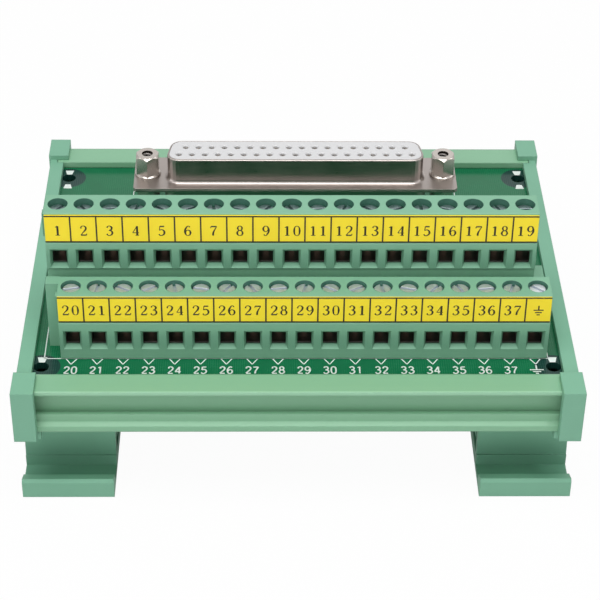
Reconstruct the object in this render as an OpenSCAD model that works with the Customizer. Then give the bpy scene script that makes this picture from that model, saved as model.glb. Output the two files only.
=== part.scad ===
// D-sub terminal block adapter: a 37-way socket wired to a double-level row of
// screw terminals on a circuit board, held in a rail-mounted plastic carrier.
// X runs along the terminal row, Y from front to back, Z up. The origin is on the
// ground under the middle of the carrier.

/* [Carrier] */
// Length of carrier and board left free past each end of the terminal block
end_room = 3.97; // [3.5:0.01:12]
// Depth of the profile over its two side walls
carrier_depth = 88; // [84:1:110]
// Height of the profile from its underside to the top of its walls
profile_h = 9.9; // [9.4:0.1:14]
// Width of the flat top of each side wall
wall_top_w = 5.7; // [4.5:0.1:7]
// Thickness of the lip that holds the board down
board_lip_t = 1.5; // [1:0.1:2]
// Depth by which the board's edge sits under each lip
board_grip = 2; // [1:0.1:2.4]
// Thickness of the profile's floor
floor_t = 1.6; // [1.2:0.1:2.4]
// Thickness of the profile's side walls
wall_t = 1.2; // [1:0.1:1.6]
// Depth of the outer groove along each side wall
groove_d = 2.4; // [1:0.1:2.6]

/* [Circuit board] */
// Thickness of the board
board_t = 1.6; // [1:0.1:2]
// Radius of the four corner holes
corner_hole_r = 1.5; // [1:0.1:2]
// Distance from the board's end to the corner holes
corner_in_x = 2.8; // [2.5:0.1:3.4]
// Distance from the board's long edge to the corner holes
corner_in_y = 6.2; // [5:0.1:8]
// Length of solder tail below the board
tail_len = 1.8; // [1:0.1:2.4]

/* [Side plates] */
// Thickness of each side plate
plate_t = 1.5; // [1.2:0.1:2.5]
// Width by which a side plate overhangs the board
plate_lip = 1.3; // [0.6:0.1:1.6]
// How far the corner blocks reach over the profile along the row
block_over = 2.4; // [1.5:0.1:3]
// How far the corner blocks stand proud in front and behind
block_out = 2; // [1:0.1:3]
// Height of the corner blocks above the side walls
block_up = 1.2; // [0.8:0.1:2]
// Thickness of the corner blocks under the profile
block_down = 0.8; // [0.8:0.1:1.5]
// Distance of the corner blocks from the inner edge of the side wall's top
block_in = 0.9; // [0.2:0.1:1.5]
// How far the corner blocks and feet stand out past the side plate
block_side = 0.4; // [0.2:0.1:1]
// Length of the guide tongues inside the profile
tongue_len = 9; // [5:0.5:12]

/* [Rail feet] */
// Height of each foot under the profile
foot_h = 19.3; // [18:0.1:24]
// Width of each foot along the row
foot_w = 18.5; // [12:0.5:22]
// Width of the mounting rail between its edges
rail_w = 35; // [34.6:0.1:35.4]
// Thickness of the rail's edges
rail_t = 1; // [0.8:0.1:1.2]
// Height of the rail's seat above the ground
rail_seat = 5.6; // [5.2:0.1:6.4]
// Reach of the hooks under the rail's edges
hook_reach = 1.7; // [1:0.1:2.2]
// Thickness of the ribs in a foot
rib_t = 1.8; // [1.2:0.1:2.4]
// Depth of the foot over its front panel and rear rib
foot_depth = 67.2; // [62:0.1:72]
// Thickness of the springy front panel
spring_t = 1.5; // [1:0.1:2]
// Thickness of the latch arm
latch_t = 3.2; // [2.4:0.1:3.6]
// How far the pull lip stands in front of the panel
lip_out = 8.4; // [6:0.1:10]
// Height of the pull lip
lip_h = 4.6; // [3.6:0.1:6]

/* [Terminal block] */
// Distance between neighbouring terminals
pitch = 5.08; // [5:0.01:5.3]
// Number of terminals in each level
poles = 19; // [2:1:19]
// Height of the lower level above the board
lower_top = 15.4; // [15:0.1:18]
// Rise from the lower level's top to the upper level's top
level_rise = 13.1; // [12.6:0.1:16]
// Distance from front screws to rear screws
level_setback = 9.3; // [9:0.1:12]
// Distance of the front screws in front of the board's middle
front_screw_y = 28.1; // [24:0.1:29]
// Depth of each level's top face
top_d = 6.6; // [6.4:0.1:8]
// How far the wire entry face stands in front of the label
entry_out = 0.3; // [0.2:0.1:1]
// Height of each label field below the top face
label_h = 6.1; // [5.6:0.1:6.6]
// Thickness of the label strips
label_t = 0.25; // [0.1:0.05:0.4]
// Radius of the screw holes in the top faces
screw_hole_r = 1.95; // [1.85:0.05:2.1]
// Width of each wire funnel at the face
funnel_w = 3.6; // [3:0.1:4]
// Height of each wire funnel at the face
funnel_h = 4.45; // [4.2:0.05:5]
// Depth of each wire funnel
funnel_d = 1; // [0.6:0.1:1.2]
// Width of the square wire entry
entry_w = 2.8; // [2:0.1:2.9]
// Height of the square wire entry
entry_h = 3; // [2.4:0.1:3.3]
// Drop from the top face to the middle of the wire entry
entry_drop = 10.8; // [10.7:0.05:11.1]

/* [Clamps] */
// Radius of the screw heads
head_r = 1.8; // [1.5:0.05:1.8]
// Height of the screw heads
head_h = 1.4; // [1.2:0.1:1.5]
// Depth of the screw heads below the top face
head_drop = 1.2; // [0.8:0.1:1.3]
// How much higher the screw heads of the lower row stand
lower_head_rise = 0.6; // [0:0.1:0.7]
// Radius of the screw shanks
shank_r = 1.2; // [1:0.05:1.25]
// Width of the driver slots
slot_w = 0.6; // [0.4:0.05:0.8]
// Depth of the driver slots
slot_d = 0.7; // [0.4:0.05:0.9]
// Radial room round a turning screw
screw_play = 0.05; // [0.03:0.01:0.08]
// Width of the clamp cages
cage_w = 4; // [3.7:0.1:4.1]
// Wall thickness of the clamp cages
cage_t = 0.5; // [0.4:0.05:0.55]
// Thickness of the current bars
bar_t = 0.8; // [0.6:0.05:1]

/* [D-sub connector] */
// Distance between neighbouring contacts in a row
contact_pitch = 2.77; // [2.76:0.005:2.78]
// Distance between the two contact rows
contact_rows = 2.84; // [2.8:0.01:2.9]
// Number of contacts in the front row
front_contacts = 19; // [5:1:19]
// Distance from the board's middle back to the connector's middle
connector_y = 18.8; // [10:0.1:24]
// Extra width of the metal collar over the contact rows
collar_side = 2.21; // [2:0.01:2.8]
// Outer depth of the metal collar
collar_d = 7.9; // [7.7:0.05:8.4]
// Outer corner radius of the metal collar
collar_r = 2.6; // [2:0.1:3]
// Height of the metal collar above its flange
collar_h = 5.8; // [5:0.1:6.5]
// Thickness of the sheet in both shells
sheet_t = 0.4; // [0.3:0.05:0.6]
// Radius at the foot of the collar
collar_fillet = 0.7; // [0.4:0.1:1]
// Distance from a jack post's axis to the flange's end
flange_end = 2.9; // [2.5:0.1:3.5]
// Size of the flange's clipped corners
flange_clip = 0.6; // [0.2:0.1:1.5]
// Depth of the flange
flange_d = 12.5; // [12:0.1:13]
// Height of the flange's top face above the board
flange_top = 11.3; // [9:0.1:14]
// Distance from the metal collar's side to a jack post's axis
post_gap = 4.33; // [4.2:0.01:5]
// Width across the flats of the jack posts
post_af = 4.75; // [4.5:0.05:5]
// Height of the jack posts above the flange
post_h = 5; // [4:0.1:6]
// Radius of the round foot of each jack post
post_foot_r = 2.8; // [2.75:0.05:2.9]
// Height of the round foot of each jack post
post_foot_h = 0.6; // [0.3:0.1:1]
// Radius of the threaded hole in each jack post
post_hole_r = 1.15; // [1:0.05:1.25]
// Radius of the stud under each jack post
stud_r = 1.4; // [1.3:0.05:1.45]
// Radius of the contact openings
mouth_r = 0.6; // [0.5:0.05:0.65]
// Outer radius of the contact barrels
barrel_r = 0.8; // [0.7:0.05:0.85]

/* [Hidden] */

round_fn = 48;
bore_fn = 32;
small_fn = 20;
gap = 0.05;

// Heights above the ground
profile_z = foot_h;
wall_top_z = profile_z + profile_h;
board_z = wall_top_z - board_lip_t - gap;
floor_z = profile_z + floor_t;

// Depths from the middle of the carrier
half_d = carrier_depth / 2;
lip_y = half_d - wall_top_w;
board_y = lip_y + board_grip;
board_shelf = 1.2;
board_shelf_t = 1.2;

// Feet
spring_gap = 2.6;
spring_slit = 0.4;
ledge_w = 0.6;
ledge_drop = 2.1;

// Ends of the carrier
row_shift = pitch / 4;
half_row = poles * pitch / 2;
half_len = half_row + row_shift + end_room;
carrier_len = 2 * half_len;
plate_in = half_len + 0.1;
plate_out = plate_in + plate_t;
side_out = plate_out + block_side;

// The two levels of the terminal block: 0 is the lower, 1 is the upper
function row_y(level) = -front_screw_y + level * level_setback;
function row_top(level) = board_z + lower_top + level * level_rise;
function row_mid(level) = level == 0 ? row_shift : -row_shift;
function pole_x(level, i) = row_mid(level) + (i - (poles - 1) / 2) * pitch;
face_in = top_d / 2;
entry_face = face_in + entry_out;
label_gaps = [0.1, 0.35];
upper_label_extra = 0.25;
function label_tall(level) = label_h + level * upper_label_extra;
function label_bottom(level) = label_gaps[level] + label_tall(level);
head_seat = head_drop + head_h + gap;
function head_top(level) = head_drop - (level == 0 ? lower_head_rise : 0);
ledge_t = 0.7;
clearance_r = shank_r + 0.15;

// A clamp, measured down from the top face and from the screw's axis
wire_top = entry_drop - entry_h / 2;
wire_bottom = entry_drop + entry_h / 2;
bar_top = wire_top - bar_t + 0.05;
cage_floor_t = 0.8;
cage_bottom = wire_bottom + cage_floor_t;
cage_roof_t = 1;
cage_room = 1.4;
cage_roof = bar_top - cage_room - cage_roof_t;
cage_front = 1.9;
cage_back = 1.6;
pin_t = 0.6;
pin_w = 1;
pin_back = cage_back + 0.15 + pin_t;
cavity_front = cage_front + 0.3;
cavity_back = pin_back + 0.1;
cavity_w = cage_w + 0.25;
cavity_top = head_seat + ledge_t;
cavity_bottom = cage_bottom + 0.4;
shank_end = bar_top - 0.4;
pin_y = cage_back + 0.15 + pin_t / 2;
pin_hole_r = 0.68;

// The terminal block's steps, from the board up
upper_entry_h = 13.3;
funnel_rise = 0.28;
base_in = 0.35;
level_groove_h = 4;
ledge_front = 0.8;
column_front = face_in;
rib_out = 0.45;

// The connector, from the board up
collar_w = front_contacts * contact_pitch + collar_side;
post_span = collar_w + 2 * post_gap;
flange_w = post_span + 2 * flange_end;
flange_z = board_z + flange_top;
rear_flange_z = flange_z - sheet_t;
standoff_top = rear_flange_z - sheet_t;
collar_top = flange_z + collar_h;
rear_contacts = front_contacts - 1;
function contact_x(row, i) = (i - ((row == 0 ? front_contacts : rear_contacts) - 1) / 2) * contact_pitch;
function contact_y(row) = connector_y + (row - 0.5) * contact_rows;
flange_hole_r = stud_r + 0.15;
insulator_play = 0.05;
tail_r = 0.33;
tail_hole_r = 0.45;
board_tail_hole_r = 0.5;
mouth_d = 0.8;
barrel_len = 7;
rear_skirt_w = collar_w + 1.2;
rear_skirt_d = collar_d + 2.8;
rear_skirt_h = 4.6;
rear_foot_h = 0.8;
lock_r = 1.5;
lock_len = 1.4;
hex_turn = 30;

// Points of a connector outline: a trapezium with rounded corners, wide side to the front
d_slope = 10;
d_steps = 6;
function d_arc(cx, cy, r, from, to) =
    [for (k = [0 : d_steps]) let (a = from + (to - from) * k / d_steps) [cx + r * cos(a), cy + r * sin(a)]];
function d_outline(w, d, r) =
    let (front_x = w / 2 - r, rear_x = w / 2 - r - (d - 2 * r) * tan(d_slope), y = d / 2 - r)
    concat(
        d_arc(front_x, -y, r, -90, d_slope),
        d_arc(rear_x, y, r, d_slope, 90),
        d_arc(-rear_x, y, r, 90, 180 - d_slope),
        d_arc(-front_x, -y, r, 180 - d_slope, 270)
    );

// Stretches an outline drawn in front-to-back and height along the row from x0 to x1
module along_row(x0, x1) {
    translate([x0, 0, 0]) rotate([90, 0, 90]) linear_extrude(x1 - x0) children();
}

// Half of the profile's section, from the middle of its floor out and round to its floor again
function wall_points(u_sign) =
    let (
        lip_under = board_z + gap - profile_z,
        shelf_top = board_z - board_t - gap - profile_z,
        u_out = half_d,
        u_groove = half_d - groove_d,
        u_in = u_groove - wall_t,
        bulge = 3.6
    )
    [for (p = [
        [u_out, 0], [u_out, 1.3], [u_out - 1, 1.85], [u_out - 1, bulge],
        [u_groove + 0.5, bulge], [u_groove, bulge - 0.5], [u_groove, profile_h - 1.6],
        [u_groove + 0.5, profile_h - 1.1], [u_out, profile_h - 0.85], [u_out, profile_h],
        [lip_y, profile_h], [lip_y, lip_under], [board_y + 0.15, lip_under],
        [board_y + 0.15, shelf_top], [board_y - board_shelf, shelf_top],
        [board_y - board_shelf, shelf_top - board_shelf_t * 0.6],
        [u_in, shelf_top - board_shelf_t * 1.4], [u_in, floor_t]
    ]) [u_sign * p[0], p[1]]];

module carrier_profile() {
    right = wall_points(1);
    left = wall_points(-1);
    color([0.45, 0.66, 0.53]) along_row(-half_len, half_len) translate([0, profile_z])
        polygon(concat(right, [for (k = [len(left) - 1 : -1 : 0]) left[k]]));
}

// Points down or up the front of the springy panel, which is bowed a little inwards
bow = 0.9;
bow_steps = 16;
function bow_line(from, to) =
    let (top_z = profile_z - gap)
    [for (k = [from : to > from ? 1 : -1 : to])
        [bow * sin(180 * k / bow_steps) - foot_depth / 2, top_z - (top_z - 1) * k / bow_steps]];

// The ribs, rail hooks and springy latch of a foot, seen from the end
module foot_section() {
    front = -foot_depth / 2;
    rear = foot_depth / 2;
    half_rail = rail_w / 2;
    hook_top = rail_seat - rail_t - 0.3;
    body_front = front + spring_t + spring_gap;
    top_z = profile_z - gap;
    // Top and rail seat
    translate([front, top_z - rib_t]) square([foot_depth, rib_t]);
    translate([-half_rail - 0.2 - rib_t, rail_seat]) square([rail_w + 0.4 + 2 * rib_t, rib_t]);
    // Upright ribs
    for (y = [body_front, -rail_w / 5, rail_w / 5 - rib_t])
        translate([y, rail_seat]) square([rib_t, top_z - rail_seat]);
    translate([-half_rail - 0.2 - rib_t, hook_top + 0.3]) square([rib_t, top_z - hook_top - 0.3]);
    translate([body_front, rail_seat]) square([-half_rail - 0.2 - body_front, rib_t]);
    // Fixed hook behind the rail
    translate([half_rail + 0.2, 0]) square([rib_t + 1.4, top_z]);
    translate([half_rail - hook_reach, 0])
        polygon([[0, 0.8], [0.8, 0], [hook_reach + 0.3, 0], [hook_reach + 0.3, hook_top], [0, hook_top]]);
    // Rear rib and its sole
    translate([rear - rib_t, 0]) square([rib_t, top_z]);
    translate([half_rail + 0.2, 0]) square([rear - half_rail - 0.2, rib_t]);
    // Springy panel
    polygon(concat(bow_line(0, bow_steps), [for (p = bow_line(bow_steps, 0)) p + [spring_t, 0]]));
    // Latch arm with its nose under the rail and its pull lip in front
    nose = -half_rail + hook_reach - 0.2;
    polygon([
        [front, 0], [nose - 1.6, 0], [nose, 1.6], [nose, hook_top], [nose - 1.5, hook_top],
        [nose - 2.7, latch_t], [front + spring_t + 0.8, latch_t], [front, latch_t + 0.9]
    ]);
    polygon([
        [front - lip_out, 0.3], [front - lip_out + 0.3, 0], [front + 0.5, 0], [front + 0.5, 1.5],
        [front - lip_out + 4.2, 1.5], [front - lip_out + 3.4, lip_h - 1.2],
        [front - lip_out + 0.6, lip_h], [front - lip_out, lip_h - 0.6]
    ]);
}

// The closed outer cheek of a foot, a slit away from its springy panel
module foot_cheek() {
    rear = foot_depth / 2;
    half_rail = rail_w / 2 + 0.2;
    top_z = profile_z - gap;
    front = [for (p = bow_line(0, bow_steps)) if (p[1] > rail_seat) p + [spring_t + spring_slit, 0]];
    polygon(concat(front, [
        [front[len(front) - 1][0], rail_seat], [half_rail, rail_seat], [half_rail, 0], [rear, 0], [rear, top_z]
    ]));
}

// A side plate with its corner blocks and its foot, at the row's right end
module foot_plate() {
    below = profile_z - gap;
    above = wall_top_z;
    // Wall over the profile's end
    difference() {
        translate([plate_in, -half_d, below - block_down])
            cube([plate_t, carrier_depth, above - below + block_down]);
        translate([plate_in - 1, -half_d - 1, below - block_down - 1])
            cube([plate_t + 2, half_d + 1 - foot_depth / 2, 1 + block_down * 0.4]);
        translate([plate_in - 1, foot_depth / 2, below - block_down - 1])
            cube([plate_t + 2, half_d + 1 - foot_depth / 2, 1 + block_down * 0.4]);
    }
    // Lip over the board's end
    translate([half_len - plate_lip, -lip_y + gap, board_z + gap])
        cube([plate_lip + 0.1 + plate_t, 2 * (lip_y - gap), board_lip_t]);
    // Corner blocks round the profile
    for (s = [-1, 1]) difference() {
        translate([half_len - block_over, s > 0 ? lip_y + block_in : -half_d - block_out, below - block_down])
            cube([side_out - half_len + block_over, wall_top_w + block_out - block_in,
                  above - below + block_down + block_up]);
        translate([0, s > 0 ? lip_y - 1 : -half_d - gap, below])
            cube([plate_in, wall_top_w + 1 + gap, above + gap - below]);
    }
    // Ledges that carry the profile's floor
    for (s = [-1, 1])
        translate([half_len - block_over - ledge_w, s > 0 ? half_d - 5 : -half_d + 0.4, below - ledge_drop])
            cube([block_over + ledge_w + 0.2, 4.6, ledge_drop]);
    // Guide tongues between the floor and the board
    for (y = [-24, 14]) translate([half_len - tongue_len, y, floor_z + gap])
        cube([tongue_len + 0.1 + plate_t, 10, 1.8]);
    // Foot
    along_row(side_out - foot_w, side_out) foot_section();
    along_row(side_out - rib_t, side_out) foot_cheek();
}

module right_foot_plate() {
    color([0.5, 0.7, 0.57]) foot_plate();
}

module left_foot_plate() {
    color([0.5, 0.7, 0.57]) mirror([1, 0, 0]) foot_plate();
}

module circuit_board() {
    color([0.08, 0.4, 0.27]) translate([0, 0, board_z - board_t]) linear_extrude(board_t) difference() {
        square([carrier_len, 2 * board_y], center = true);
        for (sx = [-1, 1], sy = [-1, 1])
            translate([sx * (half_len - corner_in_x), sy * (board_y - corner_in_y)])
                circle(r = corner_hole_r, $fn = round_fn);
        for (level = [0, 1], i = [0 : poles - 1])
            translate([pole_x(level, i), row_y(level) + pin_y]) circle(r = pin_hole_r, $fn = small_fn);
        for (row = [0, 1], i = [0 : (row == 0 ? front_contacts : rear_contacts) - 1])
            translate([contact_x(row, i), contact_y(row)]) circle(r = board_tail_hole_r, $fn = small_fn);
        for (s = [-1, 1])
            translate([s * post_span / 2, connector_y]) circle(r = lock_r + 0.1, $fn = round_fn);
    }
}

// A square mouth that narrows from the face inwards, pointing to the back, and stands a little above its end
module funnel(w0, h0, w1, h1, depth, rise) {
    polyhedron(
        points = [
            for (p = [[w0, h0, 0, rise], [w1, h1, depth, 0]])
                for (c = [[-1, -1], [1, -1], [1, 1], [-1, 1]]) [c[0] * p[0] / 2, p[2], p[3] + c[1] * p[1] / 2]
        ],
        faces = [[3, 2, 1, 0], [4, 5, 6, 7], [1, 5, 4, 0], [2, 6, 5, 1], [3, 7, 6, 2], [0, 4, 7, 3]]
    );
}

// The front of one level, seen from the end: label field above, entry face with a round lip below
module level_section(level, bottom) {
    top = row_top(level);
    y = row_y(level);
    lip_r = entry_out;
    edge = 0.15;
    lip_z = top - label_bottom(level) - 0.1;
    polygon(concat(
        [[y + face_in, top - edge], [y + face_in - edge, top]],
        [[y - face_in + edge, top], [y - face_in, top - edge]],
        [[y - face_in, lip_z]],
        [for (a = [90 : 18 : 180]) [y - face_in + lip_r * cos(a), lip_z - lip_r + lip_r * sin(a)]],
        [[y - entry_face, bottom + base_in], [y - entry_face + base_in, bottom], [y + face_in, bottom]]
    ));
}

module housing_body() {
    lower_left = row_mid(0) - half_row;
    lower_right = row_mid(0) + half_row;
    upper_left = row_mid(1) - half_row;
    upper_right = row_mid(1) + half_row;
    upper_bottom = row_top(1) - upper_entry_h;
    groove_floor = row_top(0) - level_groove_h;
    back = row_y(1) + face_in;
    // Lower level
    along_row(lower_left, lower_right) level_section(0, board_z);
    // Ledge beside the lower level's first terminal
    along_row(upper_left, lower_left + 0.01)
        translate([row_y(0) + ledge_front, board_z]) square([face_in - ledge_front, lower_top]);
    // Base under both levels
    along_row(upper_left, lower_right)
        translate([row_y(0) + face_in - 0.01, board_z])
            square([back - row_y(0) - face_in + 0.01, groove_floor - board_z]);
    // Upper level and the column that carries it
    along_row(upper_left, upper_right) union() {
        level_section(1, upper_bottom);
        translate([row_y(1) - column_front, groove_floor - 0.01])
            square([column_front + face_in, upper_bottom - groove_floor + 0.02]);
    }
}

// Everything cut out of the housing for one terminal
module pole_cuts(level, i) {
    top = row_top(level);
    x = pole_x(level, i);
    y = row_y(level);
    cut_bottom = level == 0 ? board_z - 1 : top - cavity_bottom;
    translate([x, y, 0]) {
        translate([0, 0, top - head_seat]) cylinder(r = screw_hole_r, h = head_seat + 1, $fn = bore_fn);
        translate([0, 0, top - cavity_top - 0.5]) cylinder(r = clearance_r, h = ledge_t + 1, $fn = small_fn);
        translate([-cavity_w / 2, -cavity_front, cut_bottom])
            cube([cavity_w, cavity_front + cavity_back, top - cavity_top - cut_bottom]);
        translate([-entry_w / 2, -entry_face - 0.5, top - wire_bottom])
            cube([entry_w, entry_face, entry_h]);
        translate([0, -entry_face - 0.1, top - entry_drop])
            funnel(funnel_w + (funnel_w - entry_w) * 0.1, funnel_h + (funnel_h - entry_h) * 0.1,
                   entry_w, entry_h, funnel_d + 0.1, funnel_rise);
        if (level == 1)
            translate([-pin_w / 2 - 0.15, pin_y - pin_t / 2 - 0.1, board_z - 1])
                cube([pin_w + 0.3, pin_t + 0.2, top - cavity_bottom - board_z + 2]);
    }
}

// Dovetail rib that lines neighbouring blocks up
module side_rib(level, play) {
    x = row_mid(level) - half_row;
    top = row_top(level);
    translate([x, row_y(level) - face_in + 1, top - label_h])
        linear_extrude(label_h - 0.8 + play)
            polygon([
                [0.1, 0.3 - play], [0.1, 1.3 + play],
                [-rib_out - play, 1.6 + play], [-rib_out - play, -play]
            ]);
}

module terminal_housing() {
    color([0.5, 0.72, 0.58]) difference() {
        union() {
            housing_body();
            for (level = [0, 1]) side_rib(level, 0);
        }
        for (level = [0, 1], i = [0 : poles - 1]) pole_cuts(level, i);
        for (level = [0, 1]) translate([poles * pitch, 0, 0]) side_rib(level, 0.1);
    }
}

module label_strip(level) {
    x0 = row_mid(level) - half_row;
    color([0.94, 0.86, 0.2])
        translate([x0 + 0.1, row_y(level) - face_in - label_t, row_top(level) - label_bottom(level)])
            cube([2 * half_row - 0.2, label_t, label_tall(level)]);
}

module upper_label_strip() {
    label_strip(1);
}

module lower_label_strip() {
    label_strip(0);
}

// The sleeve that the screw draws up to press the wire against the current bar
module clamp_cage() {
    difference() {
        translate([-cage_w / 2, -cage_front, -cage_bottom])
            cube([cage_w, cage_front + cage_back, cage_bottom - cage_roof]);
        translate([-cage_w / 2 + cage_t, -cage_front - 1, -wire_bottom])
            cube([cage_w - 2 * cage_t, cage_front + cage_back + 2, wire_bottom - cage_roof - cage_roof_t]);
        translate([0, 0, -cage_roof - cage_roof_t - 1])
            cylinder(r = shank_r + screw_play, h = cage_roof_t + 2, $fn = round_fn);
    }
}

module clamp_cages(level) {
    color([0.72, 0.7, 0.66]) for (i = [0 : poles - 1])
        translate([pole_x(level, i), row_y(level), row_top(level)]) clamp_cage();
}

module upper_clamp_cages() {
    clamp_cages(1);
}

module lower_clamp_cages() {
    clamp_cages(0);
}

// Current bar through the cage, bent down behind it into a solder tail
module terminal_pins(level) {
    bar_w = cage_w - 2 * cage_t - 0.4;
    tail_end = row_top(level) - board_z + board_t + tail_len;
    color([0.8, 0.76, 0.68]) for (i = [0 : poles - 1])
        translate([pole_x(level, i), row_y(level), row_top(level)]) {
            translate([-bar_w / 2, -cage_front + 0.4, -bar_top - bar_t])
                cube([bar_w, cage_front - 0.4 + pin_back, bar_t]);
            translate([-pin_w / 2, pin_back - pin_t, -tail_end]) cube([pin_w, pin_t, tail_end - bar_top]);
        }
}

module upper_terminal_pins() {
    terminal_pins(1);
}

module lower_terminal_pins() {
    terminal_pins(0);
}

// Slotted clamp screw; each one was left at its own angle
function slot_turn(level, i) = (i * 67 + level * 41 + 13) % 180;
module clamp_screw(level, i) {
    drop = head_top(level);
    edge = 0.25;
    color([0.78, 0.77, 0.74]) translate([pole_x(level, i), row_y(level), row_top(level)])
        rotate([0, 0, slot_turn(level, i)]) difference() {
            union() {
                translate([0, 0, -head_drop - head_h])
                    cylinder(r = head_r, h = head_h + head_drop - drop - edge, $fn = round_fn);
                translate([0, 0, -drop - edge])
                    cylinder(r1 = head_r, r2 = head_r - edge, h = edge, $fn = round_fn);
                translate([0, 0, -shank_end])
                    cylinder(r = shank_r, h = shank_end - head_drop - 0.5, $fn = round_fn);
            }
            translate([-head_r - 1, -slot_w / 2, -drop - slot_d]) cube([2 * head_r + 2, slot_w, slot_d + 1]);
        }
}

// Rings of one outline, each [outward offset, height], joined into a closed skin
module ring_loft(w, d, r, rings) {
    count = 4 * (d_steps + 1);
    last = len(rings) - 1;
    points = [
        for (ring = rings)
            for (p = d_outline(w + 2 * ring[0], d + 2 * ring[0], r + ring[0])) [p[0], p[1], ring[1]]
    ];
    faces = concat(
        [[for (k = [0 : count - 1]) k]],
        [for (j = [0 : last - 1]) for (k = [0 : count - 1]) let (n = (k + 1) % count)
            [j * count + k, (j + 1) * count + k, (j + 1) * count + n, j * count + n]],
        [[for (k = [count - 1 : -1 : 0]) last * count + k]]
    );
    polyhedron(points = points, faces = faces);
}

// Flat flange with clipped corners and two screw holes
module flange_outline() {
    clip = flange_clip;
    w = flange_w / 2;
    d = flange_d / 2;
    difference() {
        polygon([
            [-w + clip, -d], [w - clip, -d], [w, -d + clip], [w, d - clip],
            [w - clip, d], [-w + clip, d], [-w, d - clip], [-w, -d + clip]
        ]);
        for (s = [-1, 1]) translate([s * post_span / 2, 0]) circle(r = flange_hole_r, $fn = round_fn);
    }
}

module dsub_front_shell() {
    rim = 0.3;
    f = collar_fillet;
    color([0.76, 0.72, 0.69]) translate([0, connector_y, flange_z]) difference() {
        union() {
            translate([0, 0, -sheet_t]) linear_extrude(sheet_t) flange_outline();
            ring_loft(collar_w, collar_d, collar_r, concat(
                [[f, -0.05]],
                [for (a = [0 : 22.5 : 90]) [f - f * sin(a), f - f * cos(a)]],
                [for (a = [0 : 30 : 90]) [-rim + rim * cos(a), collar_h - rim + rim * sin(a)]]
            ));
        }
        translate([0, 0, -sheet_t - 1]) linear_extrude(collar_h + sheet_t + 2)
            polygon(d_outline(collar_w - 2 * sheet_t, collar_d - 2 * sheet_t, collar_r - sheet_t));
    }
}

module dsub_rear_shell() {
    color([0.74, 0.7, 0.67]) translate([0, connector_y, standoff_top]) difference() {
        union() {
            linear_extrude(sheet_t) flange_outline();
            translate([0, 0, -rear_skirt_h]) linear_extrude(rear_skirt_h + 0.01)
                polygon(d_outline(rear_skirt_w, rear_skirt_d, collar_r));
        }
        translate([0, 0, -rear_skirt_h - 1]) linear_extrude(rear_skirt_h + sheet_t + 2)
            polygon(d_outline(rear_skirt_w - 2 * sheet_t, rear_skirt_d - 2 * sheet_t, collar_r - sheet_t));
    }
}

module at_contacts() {
    for (row = [0, 1], i = [0 : (row == 0 ? front_contacts : rear_contacts) - 1])
        translate([contact_x(row, i), contact_y(row), 0]) children();
}

module dsub_front_insulator() {
    fit = sheet_t + insulator_play;
    low = standoff_top;
    color([0.88, 0.88, 0.89]) difference() {
        translate([0, connector_y, low]) linear_extrude(collar_top - low)
            polygon(d_outline(collar_w - 2 * fit, collar_d - 2 * fit, collar_r - fit));
        at_contacts() {
            translate([0, 0, low - 1]) cylinder(r = mouth_r, h = collar_top - low + 2, $fn = small_fn);
            translate([0, 0, low - 1])
                cylinder(r = barrel_r + insulator_play, h = collar_top - mouth_d - low + 1, $fn = small_fn);
            translate([0, 0, collar_top - 0.25])
                cylinder(r1 = mouth_r, r2 = mouth_r + 0.3, h = 0.3, $fn = small_fn);
        }
    }
}

module dsub_rear_insulator() {
    fit = sheet_t + insulator_play;
    top = standoff_top - gap;
    low = board_z + rear_foot_h;
    color([0.2, 0.2, 0.21]) difference() {
        translate([0, connector_y, 0]) union() {
            translate([0, 0, low]) linear_extrude(top - low)
                polygon(d_outline(rear_skirt_w - 2 * fit, rear_skirt_d - 2 * fit, collar_r - fit));
            for (s = [-1, 1]) translate([-collar_w / 4, s * (rear_skirt_d / 2 - 2.2) - 0.6, board_z])
                cube([collar_w / 2, 1.2, rear_foot_h + 0.1]);
        }
        at_contacts() translate([0, 0, board_z - 1])
            cylinder(r = tail_hole_r, h = top - board_z + 2, $fn = small_fn);
    }
}

module dsub_contacts() {
    barrel_top = collar_top - mouth_d - 0.1;
    barrel_low = barrel_top - barrel_len < standoff_top ? standoff_top : barrel_top - barrel_len;
    tail_low = board_z - board_t - tail_len;
    color([0.85, 0.7, 0.35]) at_contacts() difference() {
        union() {
            translate([0, 0, barrel_low]) cylinder(r = barrel_r, h = barrel_top - barrel_low, $fn = small_fn);
            translate([0, 0, tail_low]) cylinder(r = tail_r, h = barrel_low - tail_low + 0.1, $fn = small_fn);
        }
        translate([0, 0, barrel_top - 4]) cylinder(r = 0.52, h = 5, $fn = small_fn);
    }
}

// Hexagonal post with a threaded socket above the flange and a stud below it
module jack_post(side) {
    across = post_af / cos(30);
    stud_len = 7;
    color([0.8, 0.77, 0.74]) translate([side * post_span / 2, connector_y, flange_z]) difference() {
        union() {
            intersection() {
                rotate(hex_turn) cylinder(d = across, h = post_h, $fn = 6);
                translate([0, 0, -0.5])
                    cylinder(r1 = across / 2 + 5, r2 = post_af / 2 - 0.15, h = post_h + 0.5, $fn = round_fn);
            }
            cylinder(r = post_foot_r, h = post_foot_h * 0.6, $fn = round_fn);
            translate([0, 0, post_foot_h * 0.6])
                cylinder(r1 = post_foot_r, r2 = post_foot_r - 0.3, h = post_foot_h * 0.4, $fn = round_fn);
            translate([0, 0, -stud_len]) cylinder(r = stud_r, h = stud_len + 0.5, $fn = round_fn);
        }
        translate([0, 0, 0.6]) cylinder(r = post_hole_r, h = post_h, $fn = round_fn);
    }
}

module left_jack_post() {
    jack_post(-1);
}

module right_jack_post() {
    jack_post(1);
}

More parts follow.
